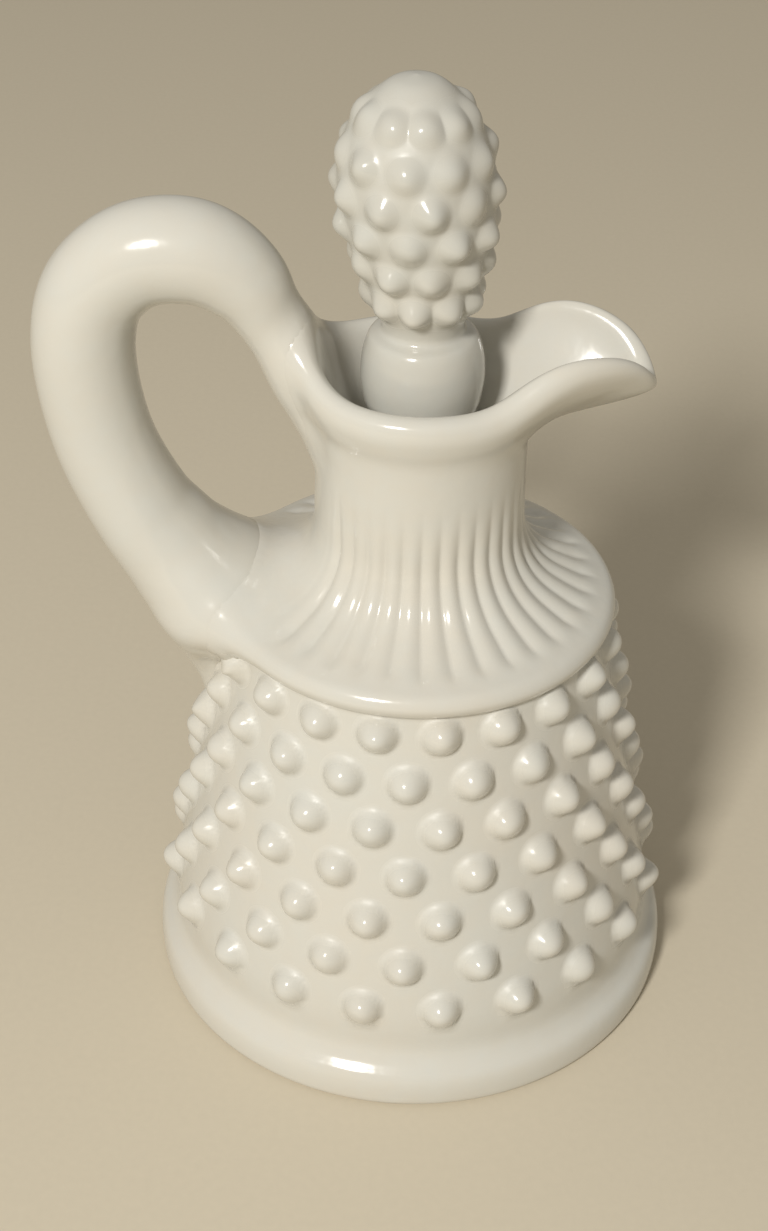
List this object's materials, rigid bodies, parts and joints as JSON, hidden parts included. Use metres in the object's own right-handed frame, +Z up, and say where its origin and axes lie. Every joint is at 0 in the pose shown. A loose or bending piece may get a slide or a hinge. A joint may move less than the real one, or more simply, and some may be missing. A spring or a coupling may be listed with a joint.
{
  "type": "cruet",
  "caption": "Small opaque-glass pouring cruet: conical hobnailed body, fluted shoulder, pulled spout, looped applied handle and a tall hobnailed lift-out stopper.",
  "frame": {"origin": "on the bottle's axis, at the plane that the foot ring stands on", "axes": "+Z up along the bottle's axis, +X towards the pouring spout, the handle on -X"},
  "size_m": [0.0781, 0.0676, 0.1206],
  "materials": {
    "milk_glass": "opaque warm-white pressed glass, glossy, fire-polished"
  },
  "bodies": {
    "bottle_body": {"bottle": "milk_glass", "handle": "milk_glass"},
    "stopper_body": {"stopper": "milk_glass"}
  },
  "joints": [
    {"name": "stopper_lift", "type": "slide", "parent": "bottle_body", "child": "stopper_body", "axis": [0, 0, 1], "range_m": [0, 0.04]}
  ]
}
